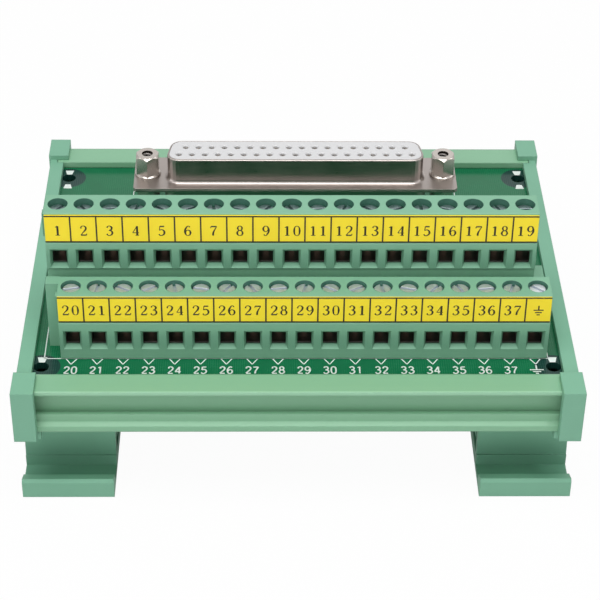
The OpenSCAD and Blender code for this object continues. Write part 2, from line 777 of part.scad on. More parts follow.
// Hexagonal standoff between the board and the flange, with a tail locked in the board
module standoff(side) {
    height = standoff_top - board_z;
    color([0.78, 0.75, 0.72]) translate([side * post_span / 2, connector_y, board_z]) difference() {
        union() {
            rotate(hex_turn) cylinder(d = post_af / cos(30), h = height, $fn = 6);
            translate([0, 0, -board_t - lock_len])
                cylinder(r = lock_r, h = board_t + lock_len + 0.1, $fn = round_fn);
        }
        translate([0, 0, 1.5]) cylinder(r = stud_r + 0.05, h = height, $fn = round_fn);
        translate([-0.4, -lock_r - 1, -board_t - lock_len - 1]) cube([0.8, 2 * lock_r + 2, lock_len + 1]);
    }
}

module left_standoff() {
    standoff(-1);
}

module right_standoff() {
    standoff(1);
}

carrier_profile();
left_foot_plate();
right_foot_plate();
circuit_board();
terminal_housing();
upper_label_strip();
lower_label_strip();
upper_clamp_cages();
lower_clamp_cages();
upper_terminal_pins();
lower_terminal_pins();
dsub_front_shell();
dsub_rear_shell();
dsub_front_insulator();
dsub_rear_insulator();
dsub_contacts();
left_jack_post();
right_jack_post();
left_standoff();
right_standoff();
for (i = [1 : poles]) {
    clamp_screw(1, i - 1);
    clamp_screw(0, i - 1);
}
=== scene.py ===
import math

import bmesh
import bpy
from mathutils import Matrix, Vector


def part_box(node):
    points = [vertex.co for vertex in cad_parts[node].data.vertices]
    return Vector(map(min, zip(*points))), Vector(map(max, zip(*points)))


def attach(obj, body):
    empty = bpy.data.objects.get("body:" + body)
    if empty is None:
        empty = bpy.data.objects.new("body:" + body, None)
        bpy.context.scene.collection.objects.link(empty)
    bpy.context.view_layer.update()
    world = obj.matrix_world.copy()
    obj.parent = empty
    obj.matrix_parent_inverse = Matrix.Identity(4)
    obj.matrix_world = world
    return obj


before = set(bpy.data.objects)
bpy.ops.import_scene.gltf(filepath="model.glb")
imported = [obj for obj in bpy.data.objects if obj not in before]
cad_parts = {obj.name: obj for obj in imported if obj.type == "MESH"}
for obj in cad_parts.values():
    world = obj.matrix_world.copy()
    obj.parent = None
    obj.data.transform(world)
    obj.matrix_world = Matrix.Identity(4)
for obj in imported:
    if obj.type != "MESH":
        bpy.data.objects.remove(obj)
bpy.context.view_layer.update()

scene = bpy.context.scene
scene.view_settings.view_transform = "Standard"
mm = 0.001
poles = 19
firstLower = 20  # the number of the first terminal on the lower level
terminalPitch = 5.08 * mm
contactPitch = 2.77 * mm
sunk = 0.02 * mm  # how deep a print's underside sits in what carries it
levels = ("lower", "upper")


def middleOf(node):
    low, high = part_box(node)
    return (low + high) / 2


# heights and spots are read from the solids, so that they follow a change there
boardLow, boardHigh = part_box("circuit_board")
boardTop = boardHigh.z
cornerHoleX, cornerHoleY = boardHigh.x - 2.8 * mm, boardHigh.y - 6.2 * mm
housingLow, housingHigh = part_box("terminal_housing")
flangeLow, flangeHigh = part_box("dsub_front_shell")
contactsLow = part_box("dsub_contacts")[0]
postMiddle = middleOf("right_jack_post")
screwSpots = {level: [middleOf(f"{level}_screw_{n + 1}") for n in range(poles)] for level in levels}
print("frame read: board top at %.2f mm" % (boardTop / mm))


# a socket that can be added to, multiplied and compared, so that shader maths reads as Python
class Wire:
    def __init__(self, graph, socket):
        self.graph, self.socket = graph, socket

    def maths(self, operation, first, second=0.0):
        return self.graph.node("ShaderNodeMath", {"operation": operation}, {0: first, 1: second})

    def __add__(self, other):
        return self.maths("ADD", self, other)

    def __radd__(self, other):
        return self.maths("ADD", other, self)

    def __sub__(self, other):
        return self.maths("SUBTRACT", self, other)

    def __rsub__(self, other):
        return self.maths("SUBTRACT", other, self)

    def __mul__(self, other):
        return self.maths("MULTIPLY", self, other)

    def __rmul__(self, other):
        return self.maths("MULTIPLY", other, self)

    def __pow__(self, other):
        return self.maths("POWER", self, other)

    def __abs__(self):
        return self.maths("ABSOLUTE", self)

    def higher(self, other):
        return self.maths("MAXIMUM", self, other)

    def fold(self, step):
        # how far the nearest multiple of step is
        return self.maths("PINGPONG", self, step / 2)

    def below(self, edge, soft):
        # 1 under the edge, 0 above it, with a soft step between
        return self.graph.node("ShaderNodeMapRange", {"interpolation_type": "SMOOTHSTEP"},
                               {0: self, 1: edge - soft, 2: edge + soft, 3: 1.0, 4: 0.0})


# one node tree, of a material or of the world; every node in it comes from node()
class Graph:
    def __init__(self, owner):
        owner.use_nodes = True
        self.tree = owner.node_tree
        self.tree.nodes.clear()

    def node(self, kind, settings=None, sockets=None, out=0):
        made = self.tree.nodes.new(kind)
        for key, value in (settings or {}).items():
            setattr(made, key, value)
        for key, value in (sockets or {}).items():
            self.feed(made.inputs[key], value)
        return Wire(self, made.outputs[out] if made.outputs else None)

    def feed(self, socket, value):
        if isinstance(value, Wire):
            self.tree.links.new(value.socket, socket)
        elif isinstance(value, tuple) and len(value) == 3 and socket.type == "RGBA":
            socket.default_value = (*value, 1.0)
        else:
            socket.default_value = value

    def seen(self, inMirrors):
        # 1 where the camera or glass looks, inMirrors where a mirror does, 0 for all other light
        camera, glossy, glass = [self.node("ShaderNodeLightPath", out=f"Is {kind} Ray")
                                 for kind in ("Camera", "Glossy", "Transmission")]
        return camera.higher(glass).higher(glossy * inMirrors)


edgeSamples = 6  # how finely a rounded edge is looked up


# a material with one glossy shader, whose patterns follow the piece's own coordinates
class Finish(Graph):
    def __init__(self, name, **fixed):
        self.material = bpy.data.materials.new(name)
        super().__init__(self.material)
        glossy = self.node("ShaderNodeBsdfPrincipled")
        self.shader = glossy.socket.node
        self.node("ShaderNodeOutputMaterial", {}, {"Surface": glossy})
        self.place = self.node("ShaderNodeTexCoord", out="Object")
        for socket, value in fixed.items():
            self.put(socket.replace("_", " "), value)

    def put(self, socket, value):
        self.feed(self.shader.inputs[socket], value)

    def noise(self, size, kind, along=(1, 1, 1)):
        # size is that of one blotch, in metres; along under 1 draws it out in x, y or z
        place = self.node("ShaderNodeMapping", {}, {"Vector": self.place, "Scale": along})
        return self.node("ShaderNodeTexNoise", {}, {"Vector": place, "Scale": 1 / size, **kind})

    def blend(self, factor, first, second):
        return self.node("ShaderNodeMix", {"data_type": "RGBA"},
                         {0: factor, 6: first, 7: second}, out=2)

    def axis(self, letter):
        return self.node("ShaderNodeSeparateXYZ", {}, {0: self.place}, out="XYZ".index(letter))

    def relief(self, height, depth, edge=0.0):
        sockets = {"Height": height, "Distance": depth, "Strength": 1.0}
        if edge:
            sockets["Normal"] = self.node("ShaderNodeBevel", {"samples": edgeSamples},
                                          {"Radius": edge})
        self.put("Normal", self.node("ShaderNodeBump", {}, sockets))

    def on(self, *nodes):
        for name in nodes:
            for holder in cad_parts[name].material_slots:
                holder.material = self.material


def awayFrom(middle, across, back):
    # how far a point is from an upright axis
    return ((across - middle[0]) ** 2 + (back - middle[1]) ** 2) ** 0.5


# the kinds of noise that all finishes are made of; each is 0.5 on average
cloudy = {"Detail": 4.0, "Roughness": 0.6}
streaky = {"Detail": 3.0, "Roughness": 0.6}
grainy = {"Detail": 2.0, "Roughness": 0.7}
blotchy = {"Detail": 3.0, "Roughness": 0.7}
mean = 0.5

plasticMix = {"cloud": 0.5, "grain": 0.3, "streak": 0.2, "grainSheen": 0.06,
              "grainRelief": 0.6, "streakRelief": 0.4}


def paintHoleShade(finish, tone, level, look):
    # painted shade: the screw holes are darkened inside, and the front face round the wire entries,
    # where shade falls
    middle = screwSpots[level][poles // 2]
    fromMiddle = finish.axis("X") - middle.x
    inRow = abs(fromMiddle).below(poles / 2 * terminalPitch, look["sharp"])
    away = awayFrom((0, middle.y), fromMiddle.fold(terminalPitch), finish.axis("Y"))
    inBore = inRow * away.below(look["boreRadius"], look["sharp"])
    tone = finish.blend(inBore * look["boreShadeShare"], tone, look["shadeTone"])
    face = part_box(f"{level}_label_strip")[0].y + look["entryReach"]
    nearFace = finish.axis("Y").below(face, look["reachSoft"])
    fromEntry = abs(finish.axis("Z") - look["entryZ"][level])
    inBand = fromEntry.below(look["entryHalf"], look["entrySoft"])
    return finish.blend(inRow * nearFace * inBand * look["entryShadeShare"], tone, look["shadeTone"])


def paintedFrontLight(finish, tone, paintedBand):
    # painted light: a stretch of the front, between two heights, painted lighter as a highlight or
    # darker as shade
    height, back = finish.axis("Z"), finish.axis("Y")
    stretch = height.below(*paintedBand["high"]) - height.below(*paintedBand["low"])
    reach = back.below(*paintedBand["behind"]) - back.below(*paintedBand["front"])
    return finish.blend(stretch * reach * paintedBand["share"], tone, paintedBand["tone"])


def plasticFinish(name, look):
    finish = Finish(name, IOR=1.5, Specular_IOR_Level=look["gloss"])
    cloud = finish.noise(look["cloud"], cloudy, look["along"])
    grain = finish.noise(look["grain"], grainy)
    streak = finish.noise(look["streak"], streaky, look["along"])
    mix = plasticMix
    tint = mix["cloud"] * cloud + mix["grain"] * grain + mix["streak"] * streak
    tone = finish.blend(tint, look["dark"], look["light"])
    if "holes" in look:
        for level in levels:
            tone = paintHoleShade(finish, tone, level, look["holes"])
    if "paintedBand" in look:
        tone = paintedFrontLight(finish, tone, look["paintedBand"])
    finish.put("Base Color", tone)
    finish.put("Roughness", look["rough"] + look["spread"] * (streak - mean)
               + mix["grainSheen"] * (grain - mean))
    finish.relief(mix["grainRelief"] * grain + mix["streakRelief"] * streak,
                  look["depth"], look["edge"])
    return finish


metalMix = {"cloud": 0.6, "brush": 0.4, "sheen": 0.6, "brushRelief": 0.7, "pitRelief": 0.3}


def metalFinish(name, look):
    finish = Finish(name, Metallic=1.0)
    cloud = finish.noise(look["cloud"], cloudy)
    brush = finish.noise(look["brush"], streaky, look["along"])
    pits = finish.noise(look["pits"], grainy)
    mix = metalMix
    tone = finish.blend(mix["cloud"] * cloud + mix["brush"] * brush, look["dark"], look["light"])
    if "paintedBoreShade" in look:
        # painted shade: darker down the threaded holes of the two posts
        paintedBoreShade = look["paintedBoreShade"]
        away = awayFrom(postMiddle.xy, abs(finish.axis("X")), finish.axis("Y"))
        tone = finish.blend(away.below(paintedBoreShade["radius"], paintedBoreShade["soft"]), tone, paintedBoreShade["tone"])
    finish.put("Base Color", tone)
    finish.put("Roughness", look["rough"] + look["spread"]
               * (mix["sheen"] * (brush - mean) + mix["sheen"] * (cloud - mean)))
    finish.relief(mix["brushRelief"] * brush + mix["pitRelief"] * pits, look["depth"], look["edge"])
    return finish


# a painted band's edges are each a height or a distance back, and half the width of its soft step
extrudedGreen = plasticFinish("extrudedGreen", {
    "dark": (0.200, 0.425, 0.262), "light": (0.245, 0.485, 0.310),
    "rough": 0.32, "spread": 0.10, "gloss": 0.4,
    "cloud": 9 * mm, "grain": 0.35 * mm, "streak": 0.5 * mm, "along": (0.02, 1, 1),
    "depth": 0.008 * mm, "edge": 0.5 * mm,
    # painted highlight: a lighter strip along the carrier's front top edge
    "paintedBand": {"low": (28.5 * mm, 0.1 * mm), "high": (29.4 * mm, 0.1 * mm),
             "front": (-50 * mm, 0.1 * mm), "behind": (-43.6 * mm, 0.1 * mm),
             "share": 0.7, "tone": (0.34, 0.62, 0.42)}})
extrudedGreen.on("carrier_profile")

mouldedGreen = plasticFinish("mouldedGreen", {
    "dark": (0.170, 0.388, 0.264), "light": (0.212, 0.452, 0.316),
    "rough": 0.48, "spread": 0.10, "gloss": 0.3,
    "cloud": 14 * mm, "grain": 0.25 * mm, "streak": 3 * mm, "along": (1, 1, 0.5),
    "depth": 0.014 * mm, "edge": 0.25 * mm,
    # painted shade: the lower part of the foot plates' front darkened, fading out upwards
    "paintedBand": {"low": (0.2 * mm, 0.1 * mm), "high": (7.2 * mm, 2.6 * mm),
             "front": (-38.6 * mm, 0.8 * mm), "behind": (0.0, 12 * mm),
             "share": 0.3, "tone": (0.02, 0.11, 0.07)}})
mouldedGreen.on("left_foot_plate", "right_foot_plate")

housingGreen = plasticFinish("housingGreen", {
    "dark": (0.180, 0.395, 0.262), "light": (0.228, 0.462, 0.315),
    "rough": 0.42, "spread": 0.10, "gloss": 0.35,
    "cloud": 8 * mm, "grain": 0.2 * mm, "streak": 2 * mm, "along": (1, 1, 0.4),
    "depth": 0.010 * mm, "edge": 0.16 * mm,
    # painted shade inside the screw bores and round the wire entries
    "holes": {"shadeTone": (0.020, 0.105, 0.078), "sharp": 0.02 * mm,
              "boreShadeShare": 0.8, "boreRadius": 1.97 * mm,
              "entryZ": {"upper": 45.3 * mm, "lower": 32.2 * mm}, "entryShadeShare": 0.2,
              "entryReach": 2.2 * mm, "reachSoft": 0.4 * mm,
              "entryHalf": 1.9 * mm, "entrySoft": 1.1 * mm}})
housingGreen.on("terminal_housing")

insulatorWhite = plasticFinish("insulatorWhite", {
    "dark": (0.61, 0.61, 0.62), "light": (0.69, 0.69, 0.70),
    "rough": 0.36, "spread": 0.08, "gloss": 0.4,
    "cloud": 7 * mm, "grain": 0.2 * mm, "streak": 1.5 * mm, "along": (1, 1, 1),
    "depth": 0.008 * mm, "edge": 0.08 * mm})
insulatorWhite.on("dsub_front_insulator")

insulatorBlack = plasticFinish("insulatorBlack", {
    "dark": (0.016, 0.016, 0.018), "light": (0.030, 0.030, 0.032),
    "rough": 0.42, "spread": 0.12, "gloss": 0.5,
    "cloud": 6 * mm, "grain": 0.2 * mm, "streak": 2 * mm, "along": (1, 1, 1),
    "depth": 0.012 * mm, "edge": 0.12 * mm})
insulatorBlack.on("dsub_rear_insulator")

nickelSheet = metalFinish("nickelSheet", {
    "dark": (0.33, 0.295, 0.275), "light": (0.47, 0.425, 0.40), "rough": 0.34, "spread": 0.36,
    "cloud": 5 * mm, "brush": 0.25 * mm, "pits": 0.12 * mm, "along": (0.05, 1, 1),
    "depth": 0.004 * mm, "edge": 0.12 * mm})
nickelSheet.on("dsub_front_shell", "dsub_rear_shell")

turnedNickel = metalFinish("turnedNickel", {
    "dark": (0.42, 0.38, 0.35), "light": (0.58, 0.54, 0.50), "rough": 0.24, "spread": 0.2,
    "cloud": 2 * mm, "brush": 0.12 * mm, "pits": 0.1 * mm, "along": (0.15, 0.15, 1),
    "depth": 0.005 * mm, "edge": 0.12 * mm,
    # painted shade down the threaded holes
    "paintedBoreShade": {"radius": 1.17 * mm, "soft": 0.03 * mm, "tone": (0.15, 0.13, 0.115)}})
turnedNickel.on("left_jack_post", "right_jack_post", "left_standoff", "right_standoff")

zincSteel = metalFinish("zincSteel", {
    "dark": (0.60, 0.65, 0.71), "light": (0.90, 0.93, 0.97), "rough": 0.46, "spread": 0.3,
    "cloud": 1.2 * mm, "brush": 0.15 * mm, "pits": 0.08 * mm, "along": (1, 0.2, 1),
    "depth": 0.002 * mm, "edge": 0.12 * mm})
zincSteel.on(*[f"lower_screw_{n + 1}" for n in range(poles)])

# painted shade: a darker, bluish copy of the zinc finish for the upper screws, which stand deeper
# in their holes where shade falls
shadedZinc = metalFinish("shadedZinc", {
    "dark": (0.24, 0.32, 0.34), "light": (0.66, 0.74, 0.76), "rough": 0.34, "spread": 0.34,
    "cloud": 1.0 * mm, "brush": 0.15 * mm, "pits": 0.08 * mm, "along": (1, 0.2, 1),
    "depth": 0.003 * mm, "edge": 0.12 * mm})
shadedZinc.on(*[f"upper_screw_{n + 1}" for n in range(poles)])

stampedNickel = metalFinish("stampedNickel", {
    "dark": (0.14, 0.13, 0.125), "light": (0.26, 0.24, 0.225), "rough": 0.42, "spread": 0.2,
    "cloud": 1.5 * mm, "brush": 0.15 * mm, "pits": 0.1 * mm, "along": (1, 1, 0.1),
    "depth": 0.006 * mm, "edge": 0.08 * mm})
stampedNickel.on("upper_clamp_cages", "lower_clamp_cages")

tinnedBrass = metalFinish("tinnedBrass", {
    "dark": (0.30, 0.20, 0.15), "light": (0.52, 0.38, 0.30), "rough": 0.42, "spread": 0.2,
    "cloud": 1.2 * mm, "brush": 0.2 * mm, "pits": 0.1 * mm, "along": (1, 1, 0.2),
    "depth": 0.006 * mm, "edge": 0.06 * mm})
tinnedBrass.on("upper_terminal_pins", "lower_terminal_pins")

goldFlash = metalFinish("goldFlash", {
    "dark": (0.56, 0.36, 0.12), "light": (0.83, 0.60, 0.25), "rough": 0.26, "spread": 0.15,
    "cloud": 0.8 * mm, "brush": 0.1 * mm, "pits": 0.08 * mm, "along": (1, 1, 0.2),
    "depth": 0.004 * mm, "edge": 0.05 * mm})
goldFlash.on("dsub_contacts")

solderTin = metalFinish("solderTin", {
    "dark": (0.52, 0.53, 0.54), "light": (0.76, 0.77, 0.78), "rough": 0.26, "spread": 0.2,
    "cloud": 0.8 * mm, "brush": 0.2 * mm, "pits": 0.1 * mm, "along": (1, 1, 1),
    "depth": 0.004 * mm, "edge": 0.1 * mm})
print("moulded, plated and turned finishes made")


def boardFinish(look):
    # solder mask over glass weave; copper under it is lighter, bare laminate darker
    finish = Finish("solderMask", IOR=1.5, Specular_IOR_Level=look["gloss"])
    across, back = abs(finish.axis("X")), abs(finish.axis("Y"))
    away = awayFrom((cornerHoleX, cornerHoleY), across, back)
    clear = away.below(look["clearRadius"], look["clearSoft"])
    poured = [distance.below(end - look["pourGap"], look["pourSoft"])
              for distance, end in ((across, boardHigh.x), (back, boardHigh.y))]
    bare = clear.higher(1 - poured[0] * poured[1])
    weft, warp = [finish.node("ShaderNodeTexWave", {"bands_direction": way}, {
        "Vector": finish.place, "Scale": look["weave"], "Distortion": look["wander"],
        "Detail": look["weaveDetail"]}) for way in "XY"]
    weave = 0.5 * (weft + warp)
    cloud = finish.noise(look["cloud"], cloudy)
    copper = finish.blend((1 - look["weaveTint"]) * cloud + look["weaveTint"] * weave,
                          look["copperDark"], look["copperLight"])
    laminate = finish.blend(weave, look["bareDark"], look["bareLight"])
    finish.put("Base Color", finish.blend(bare, copper, laminate))
    finish.put("Roughness", look["rough"] + look["spread"] * (cloud - mean)
               + look["weaveSheen"] * weave)
    finish.relief(look["weaveRelief"] * weave + look["copperRelief"] * (1 - bare)
                  + look["cloudRelief"] * cloud, look["depth"], look["edge"])
    return finish


solderMask = boardFinish({
    "clearRadius": 3.8 * mm, "clearSoft": 0.08 * mm, "pourGap": 0.5 * mm, "pourSoft": 0.05 * mm,
    "weave": 700.0, "wander": 0.6, "weaveDetail": 2.0, "weaveTint": 0.12, "cloud": 6 * mm,
    "gloss": 0.3, "rough": 0.24, "spread": 0.12, "weaveSheen": 0.04,
    "weaveRelief": 0.06, "copperRelief": 0.7, "cloudRelief": 0.24,
    "depth": 0.02 * mm, "edge": 0.1 * mm,
    "copperDark": (0.004, 0.118, 0.045), "copperLight": (0.008, 0.165, 0.068),
    "bareDark": (0.006, 0.034, 0.028), "bareLight": (0.011, 0.056, 0.044)})
solderMask.on("circuit_board")


def labelFinish(look):
    finish = Finish("labelYellow", IOR=1.48)
    cloud = finish.noise(look["cloud"], streaky)
    fibre = finish.noise(look["fibre"], grainy)
    tint = (1 - look["fibreTint"]) * cloud + look["fibreTint"] * fibre
    finish.put("Base Color", finish.blend(tint, look["dark"], look["light"]))
    finish.put("Roughness", look["rough"] + look["spread"] * (fibre - mean))
    finish.relief(fibre, look["depth"], look["edge"])
    return finish


labelYellow = labelFinish({
    "dark": (0.95, 0.72, 0.016), "light": (1.0, 0.80, 0.028), "rough": 0.5, "spread": 0.15,
    "cloud": 5 * mm, "fibre": 0.15 * mm, "fibreTint": 0.3, "depth": 0.004 * mm, "edge": 0.05 * mm})
labelYellow.on("upper_label_strip", "lower_label_strip")

inkWear = {"size": 0.25 * mm, "spread": 0.2, "depth": 0.003 * mm}


def inkFinish(name, dark, light, rough):
    finish = Finish(name, IOR=1.48)
    worn = finish.noise(inkWear["size"], blotchy)
    finish.put("Base Color", finish.blend(worn, dark, light))
    finish.put("Roughness", rough + inkWear["spread"] * (worn - mean))
    finish.relief(worn, inkWear["depth"])
    return finish


labelInk = inkFinish("labelInk", (0.012, 0.010, 0.006), (0.035, 0.028, 0.015), 0.5)
boardInk = inkFinish("boardInk", (0.70, 0.78, 0.74), (0.88, 0.93, 0.90), 0.55)
maskedCopper = inkFinish("maskedCopper", (0.012, 0.215, 0.088), (0.022, 0.285, 0.125), 0.25)
maskedGap = inkFinish("maskedGap", (0.005, 0.050, 0.032), (0.008, 0.075, 0.045), 0.25)
print("board, label and ink finishes made")


def newPiece(name, shape, finish, body="base"):
    # a finished piece stands at the origin, with its place in its mesh
    mesh = bpy.data.meshes.new(name)
    bmesh.ops.recalc_face_normals(shape, faces=shape.faces)
    shape.to_mesh(mesh)
    shape.free()
    mesh.materials.append(finish.material)
    piece = bpy.data.objects.new(name, mesh)
    scene.collection.objects.link(piece)
    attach(piece, body)


def bar(shape, low, high):
    # a thin block between two corners
    low, high = Vector(low), Vector(high)
    made = bmesh.ops.create_cube(shape, size=1.0)["verts"]
    bmesh.ops.scale(shape, verts=made, vec=high - low)
    bmesh.ops.translate(shape, verts=made, vec=(low + high) / 2)
    return made


# signs as pen strokes in a box signWide wide and 1 high, each point x, y and the pen's weight;
# a line is straight, a curve smooth, a ring smooth and closed, a serif only there with serifs
signWide = 0.5
penStrokes = {
    "0": [("ring", [(0.25, 1, .35), (0.45, 0.5, 1), (0.25, 0, .35), (0.05, 0.5, 1)])],
    "1": [("line", [(0.27, 0.02, 1), (0.27, 0.98, 1)]),
          ("line", [(0.10, 0.84, .4), (0.27, 0.97, .6)]),
          ("serif", [(0.10, 0.02, .4), (0.44, 0.02, .4)])],
    "2": [("curve", [(0.07, 0.74, .8), (0.11, 0.92, .5), (0.26, 1, .45), (0.43, 0.84, .9),
                     (0.40, 0.60, .9), (0.21, 0.30, .5), (0.05, 0.05, .45)]),
          ("line", [(0.05, 0.04, .8), (0.45, 0.04, .8)]),
          ("serif", [(0.45, 0.04, .5), (0.49, 0.2, .4)])],
    "3": [("curve", [(0.08, 0.82, .8), (0.14, 0.96, .45), (0.27, 1, .45), (0.41, 0.84, 1),
                     (0.37, 0.62, .8), (0.20, 0.54, .35)]),
          ("curve", [(0.20, 0.54, .35), (0.40, 0.45, .8), (0.45, 0.25, 1), (0.28, 0.01, .5),
                     (0.12, 0.03, .5), (0.05, 0.17, .9)])],
    "4": [("line", [(0.36, 0.01, 1), (0.36, 0.99, 1)]),
          ("line", [(0.36, 0.98, .4), (0.03, 0.29, .4)]),
          ("line", [(0.02, 0.29, .45), (0.49, 0.29, .45)]),
          ("serif", [(0.22, 0.02, .4), (0.49, 0.02, .4)])],
    "5": [("line", [(0.12, 0.96, .8), (0.44, 0.96, .8)]),
          ("line", [(0.12, 0.97, .45), (0.09, 0.54, .45)]),
          ("curve", [(0.09, 0.54, .4), (0.26, 0.62, .55), (0.45, 0.34, 1), (0.28, 0.02, .6),
                     (0.10, 0.03, .5), (0.05, 0.16, .8)])],
    "6": [("curve", [(0.41, 0.88, .7), (0.30, 1, .4), (0.13, 0.80, .8), (0.05, 0.35, 1),
                     (0.25, 0, .4), (0.45, 0.30, 1), (0.27, 0.58, .45), (0.07, 0.38, .5)])],
    "7": [("line", [(0.04, 0.95, .8), (0.46, 0.95, .8)]),
          ("serif", [(0.05, 0.95, .5), (0.02, 0.78, .4)]),
          ("curve", [(0.46, 0.94, .4), (0.31, 0.60, .6), (0.21, 0.30, .9), (0.19, 0.01, 1)])],
    "8": [("ring", [(0.25, 1, .4), (0.41, 0.78, .85), (0.25, 0.54, .5), (0.09, 0.78, .85)]),
          ("ring", [(0.25, 0.54, .5), (0.45, 0.26, .95), (0.25, 0, .4), (0.05, 0.26, .95)])],
    "9": [("curve", [(0.09, 0.12, .7), (0.20, 0, .4), (0.37, 0.20, .8), (0.45, 0.65, 1),
                     (0.25, 1, .4), (0.05, 0.70, 1), (0.23, 0.42, .45), (0.43, 0.62, .5)])],
    "earth": [("line", [(0.25, 0.55, .7), (0.25, 1, .7)]),
              ("line", [(-0.12, 0.52, .7), (0.62, 0.52, .7)]),
              ("line", [(0.0, 0.26, .7), (0.50, 0.26, .7)]),
              ("line", [(0.13, 0.02, .7), (0.37, 0.02, .7)])],
    "wideEarth": [("line", [(0.25, 0.55, 1), (0.25, 1.2, 1)]),
                  ("line", [(-0.33, 0.55, 1), (0.83, 0.55, 1)]),
                  ("line", [(-0.10, 0.28, 1), (0.60, 0.28, 1)]),
                  ("line", [(0.12, 0.02, 1), (0.38, 0.02, 1)])]}


def penned(marks, look, place):
    # draws each mark (its signs, middle x, middle y) flat, presses the round strokes to the
    # print's thickness and puts them in place; stretch widens the signs, and advance is the
    # step from one to the next as a share of their height
    curve = bpy.data.curves.new("strokes", "CURVE")
    curve.dimensions = "3D"
    curve.bevel_depth = look["pen"]
    curve.bevel_resolution = 0
    curve.resolution_u = look["steps"]
    curve.use_fill_caps = True
    tall, step = look["height"], look["advance"] * look["height"]
    for signs, middleX, middleY in marks:
        wide = (len(signs) - 1) * step + signWide * look["stretch"] * tall
        for n, sign in enumerate(signs):
            startX = middleX - wide / 2 + n * step
            for kind, points in penStrokes[sign]:
                if kind == "serif" and not look["serifs"]:
                    continue
                line = curve.splines.new("BEZIER")
                line.bezier_points.add(len(points) - 1)
                line.use_cyclic_u = kind == "ring"
                handle = "AUTO" if kind in ("curve", "ring") else "VECTOR"
                for knot, (x, y, weight) in zip(line.bezier_points, points):
                    knot.co = (startX + x * look["stretch"] * tall, middleY + (y - 0.5) * tall, 0)
                    knot.handle_left_type = knot.handle_right_type = handle
                    knot.radius = weight if look["serifs"] else 1.0
    holder = bpy.data.objects.new("strokes", curve)
    scene.collection.objects.link(holder)
    graph = bpy.context.evaluated_depsgraph_get()
    mesh = bpy.data.meshes.new_from_object(holder.evaluated_get(graph))
    bpy.data.objects.remove(holder)
    shape = bmesh.new()
    shape.from_mesh(mesh)
    bpy.data.meshes.remove(mesh)
    bmesh.ops.scale(shape, verts=shape.verts, vec=(1, 1, look["inkDepth"] / look["pen"]))
    bmesh.ops.transform(shape, matrix=place, verts=shape.verts)
    return shape


labelLook = {
    "upper": [list(str(n + 1)) for n in range(poles)],
    "lower": [list(str(n + firstLower)) for n in range(poles - 1)] + [["earth"]],
    "height": 2.25 * mm, "pen": 0.2 * mm, "steps": 5, "stretch": 1.18, "advance": 0.86,
    "serifs": True, "numeralDrop": {"upper": 0.4 * mm, "lower": 0.1 * mm},
    "inkDepth": 0.03 * mm, "rule": 0.3 * mm, "topGap": {"upper": 0.06 * mm, "lower": 0.0}}


def dressLabels(level, look):
    low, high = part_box(f"{level}_label_strip")
    centreZ = (low.z + high.z) / 2 - look["numeralDrop"][level]
    marks = [(signs, spot.x, 0.0) for spot, signs in zip(screwSpots[level], look[level])]
    upright = Matrix.Translation((0, low.y, centreZ)) @ Matrix.Rotation(math.radians(90), 4, "X")
    newPiece(f"{level}_numerals", penned(marks, look, upright), labelInk)
    # rules: a line above, a line below and one between neighbouring terminals
    shape = bmesh.new()
    front, back = low.y - look["inkDepth"], low.y + sunk
    topZ, rule = high.z - look["topGap"][level], look["rule"]
    bar(shape, (low.x, front, low.z), (high.x, back, low.z + rule))
    bar(shape, (low.x, front, topZ - rule), (high.x, back, topZ))
    for spot, after in zip(screwSpots[level], screwSpots[level][1:]):
        x = (spot.x + after.x) / 2
        bar(shape, (x - rule / 2, front, low.z + rule), (x + rule / 2, back, topZ - rule))
    newPiece(f"{level}_label_rules", shape, labelInk)


for level in levels:
    dressLabels(level, labelLook)
print("labels printed")

# spread and shift set the print against the terminals: it runs slightly wider than they do
boardPrintLook = {
    "height": 2.15 * mm, "pen": 0.18 * mm, "steps": 5, "stretch": 1.1, "advance": 0.68,
    "serifs": False, "numberY": -35.1 * mm, "spread": 1.008, "shift": -0.1 * mm,
    "inkDepth": 0.02 * mm, "line": 0.2 * mm, "chevronDeep": 1.85 * mm, "chevronWide": 2.3 * mm,
    "besideHousing": 0.35 * mm, "behindHousing": 0.35 * mm, "frontIn": 0.28 * mm,
    "besideFlange": 1.15 * mm, "behindFlange": 3.6 * mm, "beforeFlange": 0.25 * mm}


def printNumbers(places, look):
    signs = [list(str(n + firstLower)) for n in range(poles - 1)] + [["wideEarth"]]
    marks = [(sign, x, look["numberY"]) for sign, x in zip(signs, places)]
    flat = Matrix.Translation((0, 0, boardTop))
    newPiece("board_numbers", penned(marks, look, flat), boardInk)


def printOutlines(places, look):
    # outlines of the terminal block and of the connector, and a chevron for each wire
    shape = bmesh.new()
    under, over = boardTop - sunk, boardTop + look["inkDepth"]
    frontY = housingLow.y + look["frontIn"]
    half = look["line"] / 2
    for leftX, rightX, nearY, farY in (
            (housingLow.x - look["besideHousing"], housingHigh.x + look["besideHousing"],
             frontY, housingHigh.y + look["behindHousing"]),
            (flangeLow.x - look["besideFlange"], flangeHigh.x + look["besideFlange"],
             flangeLow.y - look["beforeFlange"], flangeHigh.y + look["behindFlange"])):
        for y in (nearY, farY):
            bar(shape, (leftX, y - half, under), (rightX, y + half, over))
        for x in (leftX, rightX):
            bar(shape, (x - half, nearY + half, under), (x + half, farY - half, over))
    deep, reach = look["chevronDeep"], look["chevronWide"] / 2
    for x in places:
        tip = Matrix.Translation((x, frontY - deep, 0))
        for side in (-1, 1):
            leg = bar(shape, (-half, 0, under), (half, math.hypot(deep, reach), over))
            lean = Matrix.Rotation(-side * math.atan2(reach, deep), 4, "Z")
            bmesh.ops.transform(shape, matrix=tip @ lean, verts=leg)
    newPiece("board_outline_print", shape, boardInk)


printPlaces = [spot.x * boardPrintLook["spread"] + boardPrintLook["shift"]
               for spot in screwSpots["lower"]]
printNumbers(printPlaces, boardPrintLook)
printOutlines(printPlaces, boardPrintLook)


